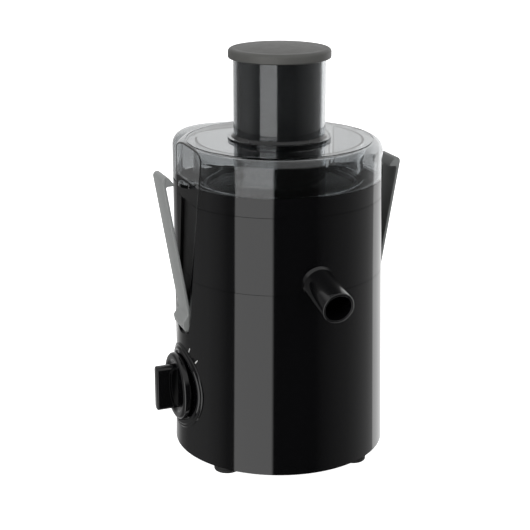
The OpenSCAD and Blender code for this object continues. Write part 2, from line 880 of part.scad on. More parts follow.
// One cutting tooth: a wedge with its edge across the path
module tooth() {
    rotate([90, 0, 0]) translate([0, 0, -1.3]) linear_extrude(2.6)
        polygon([[-1.5, 0], [1.5, 0], [-1.1, tooth_h]]);
}

module grater_disc() color(steel) {
    r0 = hub_r + 3;
    r1 = basket_floor_r - 3;
    z = basket_z + 3;
    translate([0, 0, z]) {
        ring(basket_floor_r - 0.5, hub_r + 0.1, 0.8);
        for (i = [0:tooth_rows - 1], j = [0:teeth_per_row - 1]) {
            r = r0 + (r1 - r0) * j / (teeth_per_row - 1);
            a = i * 360 / tooth_rows + 5 * j;
            rotate([0, 0, a]) translate([r, 0, 0.5]) rotate([0, 0, 90]) tooth();
        }
    }
}

// ---- pulp container ----

// Scoop of the finger grip, its surface moved outwards by t
module grip_scoop(t) {
    translate([-32 - t, rear_y + 16 - grip_depth, skirt_z - 34]) rotate([0, 90, 0])
        cylinder(r = 16 + t, h = 64 + 2 * t);
}

module container_form(t, z0, z1) {
    intersection() {
        translate([0, 0, z0]) linear_extrude(z1 - z0) rear_plan(t);
        behind(-back_play - t, z0 - 1);
    }
}

module pulp_container() color(black) {
    z0 = shelf_z + seat;
    z1 = skirt_z - 1;
    difference() {
        union() {
            difference() {
                container_form(0, z0, z1);
                container_form(container_wall, z0 + container_wall, z1 + 1);
            }
            intersection() {
                container_form(0, z0, z1);
                grip_scoop(container_wall);
            }
        }
        grip_scoop(0);
    }
}

// ---- lid ----

// Solid of the rear part of the lid with round top edges, moved inwards by t
module lid_rear(t) {
    z0 = skirt_z + seat;
    h = rear_top_z - t - z0;
    r = rear_edge_r - t;
    cx = rear_half - rear_corner;
    cy = rear_y - rear_corner;
    module edge_profile(w) {
        square([w, h - r]);
        square([w - r, h]);
        translate([w - r, h - r]) circle(r);
    }
    translate([0, 0, z0]) {
        for (s = [-1, 1]) translate([s * cx, cy, 0])
            rotate_extrude() edge_profile(rear_corner - t);
        for (s = [0, 1]) mirror([s, 0, 0])
            translate([0, cy, 0]) rotate([90, 0, 0]) linear_extrude(cy) edge_profile(rear_half - t);
        translate([-cx, 0, 0]) rotate([90, 0, 90]) linear_extrude(2 * cx)
            edge_profile(rear_y - t);
    }
}

// Solid of the round part of the lid, moved inwards by t
module lid_round(t) {
    z0 = skirt_z + seat;
    h = disc_z - t - z0;
    r = shoulder_r - t;
    translate([0, 0, z0]) rotate_extrude() {
        square([lid_r - t, h - r]);
        square([lid_r - t - r, h]);
        translate([lid_r - t - r, h - r]) circle(r);
    }
}

module lid_form(t) {
    difference() {
        union() {
            lid_round(t);
            lid_rear(t);
        }
        both_sides() side_flat(t);
    }
}

// Lug that a latch hooks over, seated on the side flat
module lid_catch() {
    intersection() {
        translate([flat_x - 8, 0, lug_z]) cylinder(r = 8 + lug_out, h = lug_t);
        translate([0, -11, lug_z - 1]) cube([far, 22, lug_t + 2]);
        side_flat(0);
    }
}

module lid_catch_left() color(smoke) { mirror([1, 0, 0]) lid_catch(); }
module lid_catch_right() color(smoke) { lid_catch(); }

module lid() color(smoke) {
    difference() {
        union() {
            difference() {
                lid_form(0);
                translate([0, 0, -0.01]) lid_form(lid_wall);
            }
            // step round the foot of the tube, the tube itself
            translate([0, 0, disc_z - 1]) cylinder(r = step_r, h = 3.3);
            translate([0, 0, disc_z + 2.3]) cylinder(r1 = tube_r + 2, r2 = tube_r, h = 2.4);
            translate([0, 0, tube_low_z]) cylinder(r = tube_r, h = tube_top_z - tube_low_z);
            // wall that keeps the pulp inside until it reaches the rear
            difference() {
                translate([0, 0, rim_z - 3]) ring(basket_rim_r + 5, basket_rim_r + 3, disc_z - rim_z + 2);
                translate([-far / 2, 30, 0]) cube([far, far, far]);
            }
        }
        translate([0, 0, tube_low_z - 1]) cylinder(r = tube_r - tube_wall, h = far);
        // groove round the disc
        translate([0, 0, disc_z - 0.8]) ring(lid_r - 8, lid_r - 9.2, 2);
    }
}

// ---- pusher ----

module pusher() color([0.17, 0.17, 0.175]) {
    r = tube_r - tube_wall - pusher_play;
    translate([0, 0, pusher_low_z]) difference() {
        union() {
            cylinder(r1 = r - 2, r2 = r, h = 2);
            translate([0, 0, 2]) cylinder(r = r, h = cap_z - pusher_low_z - 2);
        }
        translate([0, 0, pusher_wall])
            cylinder(r = r - pusher_wall, h = cap_z - pusher_low_z);
    }
}

module pusher_cap() color([0.3, 0.3, 0.295]) {
    dome_r = (cap_r * cap_r + cap_rise * cap_rise) / (2 * cap_rise);
    translate([0, 0, cap_z]) {
        cylinder(r1 = cap_r - 0.8, r2 = cap_r, h = 0.8);
        translate([0, 0, 0.8]) cylinder(r = cap_r, h = cap_h - 0.8);
        translate([0, 0, cap_h + cap_rise - dome_r]) rotate_extrude() intersection() {
            circle(dome_r, $fn = 1440);
            translate([0, dome_r - cap_rise - 0.5]) square([cap_r - 0.6, cap_rise + 2]);
        }
    }
    r = tube_r - tube_wall - pusher_play - pusher_wall - 0.1;
    translate([0, 0, cap_z - 8]) ring(r, r - 2, 8.5);
}

// ---- latches ----

// Side view of a latch: u is outwards, v is along the plate from the pivot
module latch_profile() {
    polygon([[plate_in, 0], [plate_in, latch_top_v - 8],
        [plate_in - 7.6, beak_v - 2.6], [plate_in - 8, beak_v - 1.4],
        [plate_in - 1.2, latch_top_v], [plate_in + 0.6, latch_top_v + 0.2],
        [plate_out - 1.4, latch_top_v - 0.9], [plate_out - 0.3, latch_top_v - 3],
        [plate_out, latch_top_v - 6], [plate_out, 20], [latch_foot_r - 0.6, 3], [0, 0]]);
}

module latch() {
    translate([pivot_x, 0, pivot_z]) rotate([90, 0, 0]) rotate([0, 0, -latch_open])
        translate([0, 0, -latch_w / 2]) difference() {
            union() {
                cylinder(r = latch_foot_r, h = latch_w);
                linear_extrude(latch_w) latch_profile();
            }
            translate([0, 0, -1]) cylinder(r = latch_pin_r + pin_play, h = latch_w + 2);
        }
}

module latch_left() color(satin) { mirror([1, 0, 0]) latch(); }
module latch_right() color(satin) { latch(); }

module foot_1() { foot(0); }
module foot_2() { foot(1); }
module foot_3() { foot(2); }
module foot_4() { foot(3); }

motor_housing();
base_plate();
foot_1();
foot_2();
foot_3();
foot_4();
base_screws();
stator_core();
field_windings();
bracket_upper();
bracket_lower();
bearing_upper();
bearing_lower();
motor_mounts();
brush_holders();
carbon_brushes();
shaft_seal();
rotary_switch();
interlock_switch();
suppressor();
terminal_block();
cord_inlet();
dial_bezel();
latch_pin_left();
latch_pin_right();
motor_shaft();
armature_core();
armature_winding();
commutator();
cooling_fan();
drive_coupling();
drive_neck();
control_dial();
juice_collector();
juice_spout();
basket_base();
filter_mesh();
basket_rim();
grater_disc();
pulp_container();
lid();
lid_catch_left();
lid_catch_right();
pusher();
pusher_cap();
latch_left();
latch_right();
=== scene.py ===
# %% [markdown]
# # A centrifugal juicer, finished in Blender
# The shapes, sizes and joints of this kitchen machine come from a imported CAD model, which is loaded
# first and never moved. Blender adds what CAD leaves out: plastic that looks moulded, clear smoke
# parts, steel with its grain, rounded edges, and a small studio. Everything is in metres,
# with +Z up and the spout on the -Y side, so a new piece is made where the CAD says that it
# belongs.

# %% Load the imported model
import math

import bmesh
import bpy
import numpy as np
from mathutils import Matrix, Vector


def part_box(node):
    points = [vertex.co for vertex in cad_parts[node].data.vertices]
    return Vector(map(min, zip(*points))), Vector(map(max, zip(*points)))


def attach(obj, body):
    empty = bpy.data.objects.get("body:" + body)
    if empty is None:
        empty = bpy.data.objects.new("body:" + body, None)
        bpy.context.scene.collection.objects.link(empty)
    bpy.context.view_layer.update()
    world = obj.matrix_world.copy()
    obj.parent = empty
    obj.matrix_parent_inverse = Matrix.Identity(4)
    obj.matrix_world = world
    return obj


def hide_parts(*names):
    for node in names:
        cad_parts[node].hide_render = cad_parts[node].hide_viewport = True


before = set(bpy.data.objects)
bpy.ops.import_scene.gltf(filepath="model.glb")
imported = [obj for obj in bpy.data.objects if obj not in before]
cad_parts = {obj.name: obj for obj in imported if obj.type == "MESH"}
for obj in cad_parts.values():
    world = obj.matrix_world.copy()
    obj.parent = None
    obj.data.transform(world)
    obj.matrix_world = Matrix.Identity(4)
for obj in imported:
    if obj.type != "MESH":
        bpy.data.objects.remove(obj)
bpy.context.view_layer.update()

MM = 0.001
WELD_M = 2e-6  # points nearer than this become one

# %% [markdown]
# ## Camera
# A product is usually shown from some distance through a long lens, because that keeps upright
# edges parallel. This camera stands a little over a metre away at the front left, at an angle of 21
# degrees from the spout, and looks down by 17.6 degrees. The object stands slightly right of the
# optical axis, so the camera is stepped a little to its own left.

# %% Camera
CAMERA_AZIMUTH = math.radians(-21)
CAMERA_PITCH = math.radians(17.573)
CAMERA_DISTANCE = 1.1005
CAMERA_HEIGHT = 0.5108
CAMERA_STEP_LEFT = 0.01205
LENS_MM = 90.6

to_camera = Vector((math.sin(CAMERA_AZIMUTH), -math.cos(CAMERA_AZIMUTH), 0))
camera_right = Vector((math.cos(CAMERA_AZIMUTH), math.sin(CAMERA_AZIMUTH), 0))

camera = bpy.data.objects.new("camera", bpy.data.cameras.new("camera"))
bpy.context.scene.collection.objects.link(camera)
camera.data.lens = LENS_MM
camera.data.sensor_width = 36
camera.data.clip_start = 0.05
camera.location = to_camera * CAMERA_DISTANCE - camera_right * CAMERA_STEP_LEFT
camera.location.z = CAMERA_HEIGHT
camera.rotation_euler = (math.pi / 2 - CAMERA_PITCH, 0, CAMERA_AZIMUTH)
bpy.context.scene.camera = camera

# %% [markdown]
# ## Two small helpers for materials
# Blender calculates with linear light, and a colour picker shows sRGB. So colours are written as
# sRGB hex values, and one function turns them to linear. A second function adds a node to a node
# tree, sets its properties and fills its inputs, each with a plain value or with another node's
# output.

# %% Colour and node helpers
def linear(hex_colour):
    """sRGB hex to linear: below 0.04045 a twelfth, above it the 2.4 power curve."""
    srgb = np.array([int(hex_colour[i:i + 2], 16) for i in (1, 3, 5)]) / 255
    flat = np.where(srgb <= 0.04045, srgb / 12.92, ((srgb + 0.055) / 1.055) ** 2.4)
    return (*flat.tolist(), 1.0)


def add(tree, kind, inputs=None, **settings):
    """Adds a node of that kind. inputs maps an input's name or number to a value or an output."""
    made = tree.nodes.new(kind)
    for name, value in settings.items():
        setattr(made, name, value)
    for key, value in (inputs or {}).items():
        if isinstance(value, bpy.types.NodeSocket):
            tree.links.new(value, made.inputs[key])
        else:
            made.inputs[key].default_value = value
    return made


def mirrored_once(tree, path):
    """1 for a ray that was mirrored at least once, and 0 for any other."""
    depth = path.outputs["Glossy Depth"]
    return add(tree, "ShaderNodeMath", {0: depth, 1: 0.5}, operation="GREATER_THAN").outputs[0]

# %% [markdown]
# ## The studio
# Gloss black plastic has almost no colour of its own. What the eye sees is the room in it, so the
# room is designed by what should be mirrored where: one tall softbox at the front left that draws a
# sharp upright strip, a bright backdrop behind that lights both edges, and dark walls elsewhere. On
# an upright wall, a normal turned by an angle mirrors what stands at twice that angle from the
# camera, and that is how the softbox's two edges were chosen. The room is painted on the world by
# compass direction. What is looked at directly, or through clear plastic, is a plain white
# backdrop, and only a ray that was mirrored at least once sees the room.

# %% World
BACKDROP = 1.0
AMBIENT = 0.62
SOFTBOX = 1.85
# Compass angle from the camera in degrees, positive to the right, and the room's brightness there
ROOM = [(-180, 1.0), (-156, 0.6), (-136, 0.24), (-122, 0.18), (-102, 0.26), (-86, 0.30),
        (-71, 0.24), (-58, 0.11), (-50.5, 0.11), (-49.5, SOFTBOX), (-7.5, SOFTBOX), (-6.5, 0.03),
        (40, 0.03), (47, 0.07), (66, 0.15), (80, 0.2), (96, 0.3), (115, 0.44), (128.5, 0.6),
        (129.5, 1.6), (165, 1.2), (180, 1.0)]
CEILING = 0.75
# The walls turn into the ceiling while the upward part of a direction goes from one to the other
CEILING_STARTS, CEILING_FULL = 0.25, 0.62
# The colour ramp holds the levels divided by this, so that its colours stay below 1
RAMP_SCALE = 3.0

world = bpy.data.worlds.new("studio")
bpy.context.scene.world = world
world.use_nodes = True
tree = world.node_tree
tree.nodes.clear()
direction = add(tree, "ShaderNodeTexCoord").outputs["Generated"]
turned = add(tree, "ShaderNodeVectorRotate", {"Vector": direction, "Angle": -CAMERA_AZIMUTH},
             rotation_type="Z_AXIS")
axes = add(tree, "ShaderNodeSeparateXYZ", {0: turned.outputs[0]})
back_to_front = add(tree, "ShaderNodeMath", {0: axes.outputs["Y"], 1: -1.0}, operation="MULTIPLY")
compass = add(tree, "ShaderNodeMath", {0: axes.outputs["X"], 1: back_to_front.outputs[0]},
              operation="ARCTAN2")
share = add(tree, "ShaderNodeMapRange", {0: compass.outputs[0], 1: -math.pi, 2: math.pi})
walls = add(tree, "ShaderNodeValToRGB", {0: share.outputs[0]})
stops = walls.color_ramp.elements
while len(stops) < len(ROOM):
    stops.new(0.5)
for stop, (angle, level) in zip(stops, ROOM):
    stop.position = (angle + 180) / 360
    stop.color = (level / RAMP_SCALE, level / RAMP_SCALE, level / RAMP_SCALE, 1)
wall_level = add(tree, "ShaderNodeMath", {0: walls.outputs[0], 1: RAMP_SCALE},
                 operation="MULTIPLY")
upwards = add(tree, "ShaderNodeMapRange", {0: axes.outputs["Z"], 1: CEILING_STARTS,
                                           2: CEILING_FULL}, interpolation_type="SMOOTHSTEP")
room = add(tree, "ShaderNodeMix", {0: upwards.outputs[0], 2: wall_level.outputs[0], 3: CEILING})
path = add(tree, "ShaderNodeLightPath")
mirrored = mirrored_once(tree, path)
glossy = add(tree, "ShaderNodeMath", {0: mirrored, 1: path.outputs["Is Glossy Ray"]},
             operation="MAXIMUM")
direct = add(tree, "ShaderNodeMath", {0: path.outputs["Is Transmission Ray"],
                                      1: glossy.outputs[0]}, operation="SUBTRACT", use_clamp=True)
seen = add(tree, "ShaderNodeMath", {0: path.outputs["Is Camera Ray"], 1: direct.outputs[0]},
           operation="MAXIMUM")
lit = add(tree, "ShaderNodeMix", {0: glossy.outputs[0], 2: AMBIENT, 3: room.outputs[0]})
strength = add(tree, "ShaderNodeMix", {0: seen.outputs[0], 2: lit.outputs[0], 3: BACKDROP})
background = add(tree, "ShaderNodeBackground", {"Color": (1, 1, 1, 1),
                                                "Strength": strength.outputs[0]})
add(tree, "ShaderNodeOutputWorld", {"Surface": background.outputs[0]})
print("room has", len(ROOM), "levels, softbox", SOFTBOX)

# %% [markdown]
# ## Floor and lamps
# The floor is a pale sheet. Seen by the camera it gives a little light of its own, so that it runs
# into the white backdrop without a horizon and still takes the soft shadow under the feet. Mirrors
# don't see it, as if the machine stood on a small glass stand in the middle of the room. Two area
# lamps give the matt parts some direction: a large key light at the front left and a weaker one
# from the right.

# %% Floor and lamps
FLOOR_SIZE = 30.0

floor_mesh = bpy.data.meshes.new("floor")
half = FLOOR_SIZE / 2
floor_mesh.from_pydata([(-half, -half, 0), (half, -half, 0), (half, half, 0), (-half, half, 0)], [],
                       [(0, 1, 2, 3)])
floor = bpy.data.objects.new("floor", floor_mesh)
bpy.context.scene.collection.objects.link(floor)
floor.visible_glossy = False

paper = bpy.data.materials.new("floor_paper")
paper.use_nodes = True
tree = paper.node_tree
tree.nodes.clear()
path = add(tree, "ShaderNodeLightPath")
sheet = add(tree, "ShaderNodeBsdfDiffuse", {"Color": linear("#e6e6e6")})
glow = add(tree, "ShaderNodeEmission", {"Color": (1, 1, 1, 1),
                                        "Strength": path.outputs["Is Camera Ray"]})
both = add(tree, "ShaderNodeMixShader", {0: 0.5, 1: sheet.outputs[0], 2: glow.outputs[0]})
doubled = add(tree, "ShaderNodeAddShader", {0: both.outputs[0], 1: both.outputs[0]})
mirrored = mirrored_once(tree, path)
gone = add(tree, "ShaderNodeBsdfTransparent")
unmirrored = add(tree, "ShaderNodeMixShader", {0: mirrored, 1: doubled.outputs[0],
                                               2: gone.outputs[0]})
add(tree, "ShaderNodeOutputMaterial", {"Surface": unmirrored.outputs[0]})
floor_mesh.materials.append(paper)

LAMP_TARGET = Vector((0, 0, 0.17))


def lamp(name, compass_deg, height, distance, size, watts):
    """An area lamp at a compass angle from the camera, turned towards the middle of the object."""
    angle = CAMERA_AZIMUTH + math.radians(compass_deg)
    light = bpy.data.lights.new(name, "AREA")
    light.shape = "RECTANGLE"
    light.size, light.size_y = size
    light.energy = watts
    made = bpy.data.objects.new(name, light)
    made.location = (distance * math.sin(angle), -distance * math.cos(angle), height)
    aim = LAMP_TARGET - made.location
    made.rotation_euler = aim.to_track_quat("-Z", "Y").to_euler()
    made.visible_glossy = False
    made.visible_transmission = False
    bpy.context.scene.collection.objects.link(made)


lamp("key_light", -32, 1.1, 1.6, (1.0, 1.2), 22)
lamp("fill_light", 55, 0.9, 1.8, (1.0, 1.2), 9)

# %% [markdown]
# ## Materials
# Each finish is named for what it is on the real machine. They all start from one Principled
# shader, with the refractive index that the real stuff has, and a grain from noise whose scale is
# worked out from a size in millimetres.

# %% Material helpers
WAVE_LENGTH = 0.314  # distance between two lines of the wave texture at scale 1


def finish(name, hex_colour, roughness, ior=1.5, **sockets):
    """A material with one Principled shader, whose constant sockets are set by name."""
    made = bpy.data.materials.new(name)
    made.use_nodes = True
    tree = made.node_tree
    tree.nodes.clear()
    shader = add(tree, "ShaderNodeBsdfPrincipled", {"Base Color": linear(hex_colour),
                                                    "Roughness": roughness, "IOR": ior})
    for socket, value in sockets.items():
        shader.inputs[socket.replace("_", " ")].default_value = value
    add(tree, "ShaderNodeOutputMaterial", {"Surface": shader.outputs[0]})
    return made, tree, shader


def noise(tree, size_mm, detail=2.0, stretch=(1, 1, 1)):
    """Noise on Object coordinates whose blobs are about size_mm wide, stretched along an axis."""
    place = add(tree, "ShaderNodeTexCoord").outputs["Object"]
    scaled = add(tree, "ShaderNodeMapping", {"Vector": place, "Scale": stretch})
    fineness = 1 / (size_mm * MM)
    return add(tree, "ShaderNodeTexNoise", {"Vector": scaled.outputs[0], "Scale": fineness,
                                            "Detail": detail}).outputs["Fac"]


def bump(tree, shader, height, depth_mm):
    """Turns a height from 0 to 1 into relief of depth_mm."""
    relief = add(tree, "ShaderNodeBump", {"Height": height, "Distance": depth_mm * MM,
                                          "Strength": 1.0})
    tree.links.new(relief.outputs[0], shader.inputs["Normal"])


def vary(tree, shader, socket, factor, low, high):
    """Lets a socket run from low to high with the factor."""
    spread = add(tree, "ShaderNodeMapRange", {0: factor, 3: low, 4: high})
    tree.links.new(spread.outputs[0], shader.inputs[socket])


def tint(tree, shader, factor, low_hex, high_hex):
    """Lets the colour run between two hex colours with the factor."""
    mixed = add(tree, "ShaderNodeMix", {0: factor, 6: linear(low_hex), 7: linear(high_hex)},
                data_type="RGBA")
    tree.links.new(mixed.outputs[2], shader.inputs["Base Color"])


def lines(tree, pitch_mm):
    """Even lines across the object's Z axis, one every pitch_mm."""
    place = add(tree, "ShaderNodeTexCoord").outputs["Object"]
    return add(tree, "ShaderNodeTexWave", {"Vector": place, "Scale": WAVE_LENGTH / (pitch_mm * MM),
                                           "Distortion": 0.0}, bands_direction="Z").outputs["Fac"]

# %% [markdown]
# ## Plastics
# The body is gloss black ABS from a polished mould: the eye reads it only by its reflections, and a
# slow change of roughness keeps them from looking like glass. Clear parts are SAN, stiff and
# bright, with a faint smoke tint and the long waves that a moulded wall has. The hidden and the
# handled parts are spark-eroded polypropylene and nylon, whose fine grain breaks the light up.

# %% Plastics
# The two flats under the latches lie inside the round body and have a fine spark-eroded texture, so
# they stay dark. They are found by their distance from the axis, where the sides are furthest out
FLAT_STARTS, FLAT_FULL, FLAT_SIDEWAYS = 87.4 * MM, 86.6 * MM, 79 * MM
FLAT_ROUGHNESS = 0.5

gloss_abs, tree, shader = finish("gloss_black_abs_moulded", "#050506", 0.05, 1.53)
place = add(tree, "ShaderNodeTexCoord").outputs["Object"]
level = add(tree, "ShaderNodeVectorMath", {0: place, 1: (1, 1, 0)}, operation="MULTIPLY")
radius = add(tree, "ShaderNodeVectorMath", {0: level.outputs[0]}, operation="LENGTH")
within = add(tree, "ShaderNodeMapRange", {0: radius.outputs["Value"], 1: FLAT_STARTS,
                                          2: FLAT_FULL})
parts = add(tree, "ShaderNodeSeparateXYZ", {0: place})
sideways = add(tree, "ShaderNodeMath", {0: parts.outputs["X"]}, operation="ABSOLUTE")
beside = add(tree, "ShaderNodeMath", {0: sideways.outputs[0], 1: FLAT_SIDEWAYS},
             operation="GREATER_THAN")
flats = add(tree, "ShaderNodeMath", {0: within.outputs[0], 1: beside.outputs[0]},
            operation="MULTIPLY")
polish = add(tree, "ShaderNodeMapRange", {0: noise(tree, 9.0), 3: 0.035, 4: 0.075})
matt = add(tree, "ShaderNodeMath", {0: flats.outputs[0], 1: FLAT_ROUGHNESS,
                                    2: polish.outputs[0]}, operation="MULTIPLY_ADD")
tree.links.new(matt.outputs[0], shader.inputs["Roughness"])

textured_pp, tree, shader = finish("textured_black_pp_moulded", "#151515", 0.5, 1.49)
bump(tree, shader, noise(tree, 0.6), 0.05)

# Clear smoke SAN: the smoke is in the plastic, so a 2 mm wall stays clear and long ways through it,
# at its edges and steps, turn dark. About a sixth of the light is lost in 2 mm
smoke_san, tree, shader = finish("smoke_san_clear_moulded", "#f1f3f4", 0.01, 1.53,
                                 Transmission_Weight=1.0)
vary(tree, shader, "Roughness", noise(tree, 14.0), 0.0, 0.012)
bump(tree, shader, noise(tree, 22.0, detail=0.0), 0.015)
tinted = add(tree, "ShaderNodeVolumeAbsorption", {"Color": linear("#747b80"), "Density": 110.0})
tree.links.new(tinted.outputs[0], tree.nodes["Material Output"].inputs["Volume"])

# Polished PP of the pusher: slow changes along the mould's draw, soft edges on its reflections
pusher_pp, tree, shader = finish("dark_grey_pp_satin", "#454546", 0.2, 1.49)
drawn = noise(tree, 7.0, stretch=(1, 1, 0.15))
vary(tree, shader, "Roughness", drawn, 0.17, 0.23)
tint(tree, shader, drawn, "#434344", "#484849")

cap_soft, tree, shader = finish("grey_pp_matt_cap", "#454543", 0.5, 1.49)
bump(tree, shader, noise(tree, 0.5), 0.04)
vary(tree, shader, "Roughness", noise(tree, 6.0), 0.44, 0.58)

# Satin grey paint on ABS: an even colour with the slight orange peel of sprayed paint
latch_satin, tree, shader = finish("satin_grey_abs_painted", "#7b7d7c", 0.32, 1.5)
peel = noise(tree, 0.9)
bump(tree, shader, peel, 0.02)
vary(tree, shader, "Roughness", peel, 0.28, 0.38)

basket_pp, tree, shader = finish("dark_basket_nylon", "#1f1f20", 0.4, 1.53)
bump(tree, shader, noise(tree, 0.7), 0.04)
tint(tree, shader, noise(tree, 5.0), "#1b1b1c", "#242425")

# Unfilled nylon is milky and yellows a little where it is thick
nylon, tree, shader = finish("natural_nylon_moulded", "#d8d2c2", 0.45, 1.53)
tint(tree, shader, noise(tree, 6.0), "#d2cab6", "#dfdacd")
bump(tree, shader, noise(tree, 0.5), 0.02)

# Soft rubber: no clear reflection at all, only a dusty sheen on a fine grain
rubber, tree, shader = finish("soft_rubber_black", "#121212", 0.75, 1.52, Sheen_Weight=0.15)
bump(tree, shader, noise(tree, 0.4), 0.06)
tint(tree, shader, noise(tree, 3.0), "#0f0f0f", "#181817")

carbon, tree, shader = finish("pressed_carbon", "#17171a", 0.6)
tint(tree, shader, noise(tree, 0.3), "#121214", "#222226")
bump(tree, shader, noise(tree, 0.3), 0.03)

capacitor, tree, shader = finish("dipped_film_capacitor", "#c9a83a", 0.25)
tint(tree, shader, noise(tree, 4.0), "#c29f30", "#d0b14a")
bump(tree, shader, noise(tree, 3.0), 0.1)

# %% [markdown]
# ## Metals
# Bare metal has no colour below its shine, so its character is in how sharp the reflections are and
# in which direction the surface was worked: rolled and brushed sheet shows streaks, stacked sheets
# show their edges, and wound wire shows its turns. Their patterns are scaled from the real pitch.

# %% Metals
# Cold-rolled stainless sheet, brushed: fine streaks along the rolling direction
stainless, tree, shader = finish("stainless_sheet_brushed", "#d2d3d1", 0.45, Metallic=1.0)
streaks = noise(tree, 0.35, stretch=(1, 1, 0.03))
vary(tree, shader, "Roughness", streaks, 0.38, 0.52)
bump(tree, shader, streaks, 0.01)

# Etched filter sheet: light scatters at the edges of its holes, so a part of its shine is diffuse
etched, tree, shader = finish("stainless_sheet_etched", "#c6c7c6", 0.45, Metallic=0.55)
etch = noise(tree, 0.8)
vary(tree, shader, "Roughness", etch, 0.36, 0.54)
bump(tree, shader, etch, 0.02)

# Zinc plating: a cool grey with soft, slightly cloudy patches
zinc, tree, shader = finish("zinc_plated_steel", "#b5b8bc", 0.35, Metallic=1.0)
cloud = noise(tree, 2.5)
tint(tree, shader, cloud, "#aeb2b8", "#bdbdb9")
vary(tree, shader, "Roughness", cloud, 0.28, 0.42)

# Lamination sheets are 0.5 mm thick, drawn 1 mm apart so that they show
laminations, tree, shader = finish("stacked_electrical_steel", "#7d7f82", 0.5, Metallic=1.0)
edges = lines(tree, 1.0)
bump(tree, shader, edges, 0.15)
tint(tree, shader, edges, "#66686b", "#888a8d")

# Winding wire is 0.5 mm thick, drawn 1.2 mm apart so that its turns show
copper, tree, shader = finish("enamelled_copper_wire", "#b5672f", 0.3, Metallic=1.0,
                              Coat_Weight=0.4)
turns = lines(tree, 1.2)
bump(tree, shader, turns, 0.3)
tint(tree, shader, turns, "#8f4a1d", "#bd6f35")

bearing_steel, tree, shader = finish("ground_bearing_steel", "#cfd0d2", 0.15, Metallic=1.0)
vary(tree, shader, "Roughness", noise(tree, 0.5, stretch=(0.1, 0.1, 1)), 0.1, 0.22)

brass, tree, shader = finish("stamped_brass", "#c8a04a", 0.3, Metallic=1.0)
tint(tree, shader, noise(tree, 2.0), "#bd9440", "#cfa955")
vary(tree, shader, "Roughness", noise(tree, 1.0), 0.24, 0.4)

FINISH_OF_SLOT = {
    "black_gloss": gloss_abs, "base_black": textured_pp, "smoke_clear": smoke_san,
    "pusher_dark": pusher_pp, "cap_grey": cap_soft, "latch_grey": latch_satin,
    "basket_dark": basket_pp, "stainless": stainless, "zinc_steel": zinc,
    "laminations": laminations, "copper": copper, "bearing_steel": bearing_steel,
    "rubber": rubber, "nylon_white": nylon, "brush_brass": brass, "carbon": carbon,
    "capacitor_yellow": capacitor,
}
for name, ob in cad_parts.items():
    for slot in ob.material_slots:
        slot.material = FINISH_OF_SLOT[slot.material.name.split(".")[0]]

# %% [markdown]
# ## From numbers to a surface
# Every new piece starts as a grid of points, worked out at once with numpy. A row is an outline or
# a profile, and the rows follow each other round an axis or along a path. That keeps each shape a
# short formula, which is easier to read and to change than a box that was cut and pushed by hand.
# The profiles are given by their corners, each with the radius that rounds it, as a drawing would.

# %% Profile and surface helpers
SMOOTH_UP_TO = math.radians(36)


def rounded(corners, steps=6):
    """Closed outline through corners (x, y, radius). A corner with inside angle 2h is cut back by
    radius / tan(h) on both sides. An arc about the point radius / sin(h) inwards joins the cuts."""
    corner = np.array(corners, float)
    here, radius = corner[:, :2], corner[:, 2:]
    back, ahead = np.roll(here, 1, 0) - here, np.roll(here, -1, 0) - here
    back /= np.linalg.norm(back, axis=1, keepdims=True)
    ahead /= np.linalg.norm(ahead, axis=1, keepdims=True)
    half = np.arccos(np.clip((back * ahead).sum(1, keepdims=True), -1, 1)) / 2
    middle = (back + ahead) / np.linalg.norm(back + ahead, axis=1, keepdims=True)
    centre = here + middle * radius / np.sin(half)
    first = here + back * radius / np.tan(half) - centre
    last = here + ahead * radius / np.tan(half) - centre
    sweep = (np.pi - 2 * half)[:, None]
    t = np.linspace(0, 1, steps + 1)[None, :, None]
    arc = np.sin((1 - t) * sweep) * first[:, None] + np.sin(t * sweep) * last[:, None]
    return (centre[:, None] + arc / np.sin(sweep)).reshape(-1, 2)


def revolved(profile, turns):
    """A profile (r, h) turned about an axis: (r cos a, r sin a, h) for every angle a."""
    angle = np.linspace(0, 2 * np.pi, turns, endpoint=False)[:, None]
    r, h = profile.T
    return np.stack([r * np.cos(angle), r * np.sin(angle), h + 0 * angle], -1)


def across(outline, half_width, edge):
    """A closed outline (u, v), counterclockwise, carried from -half_width to half_width. Near both
    ends it moves out by edge * sin(t) while it shrinks along its normals by edge * (1 - cos(t))."""
    t = np.linspace(0, np.pi / 2, 5)
    shrink = edge * (1 - np.cos(t))
    place = half_width - edge + edge * np.sin(t)
    shrink, place = np.append(shrink[::-1], shrink), np.append(-place[::-1], place)
    along = np.roll(outline, -1, 0) - np.roll(outline, 1, 0)
    length = np.linalg.norm(along, axis=1, keepdims=True)
    normal = np.stack([along[:, 1], -along[:, 0]], -1) / length
    points = outline - shrink[:, None, None] * normal
    carried = np.broadcast_to(place[:, None, None], points[..., :1].shape)
    return np.concatenate([points, carried], -1)


def mesh_object(name, points_mm, faces, look):
    """Object from points in mm: doubles merged, normals outwards, smooth up to SMOOTH_UP_TO."""
    mesh = bpy.data.meshes.new(name)
    mesh.from_pydata((points_mm * MM).tolist(), [], faces)
    work = bmesh.new()
    work.from_mesh(mesh)
    bmesh.ops.remove_doubles(work, verts=work.verts, dist=WELD_M)
    bmesh.ops.recalc_face_normals(work, faces=work.faces)
    work.to_mesh(mesh)
    work.free()
    mesh.polygons.foreach_set("use_smooth", np.ones(len(mesh.polygons), bool))
    mesh.set_sharp_from_angle(angle=SMOOTH_UP_TO)
    mesh.materials.append(look)
    made = bpy.data.objects.new(name, mesh)
    bpy.context.scene.collection.objects.link(made)
    print(name, "has", len(mesh.polygons), "faces")
    return made


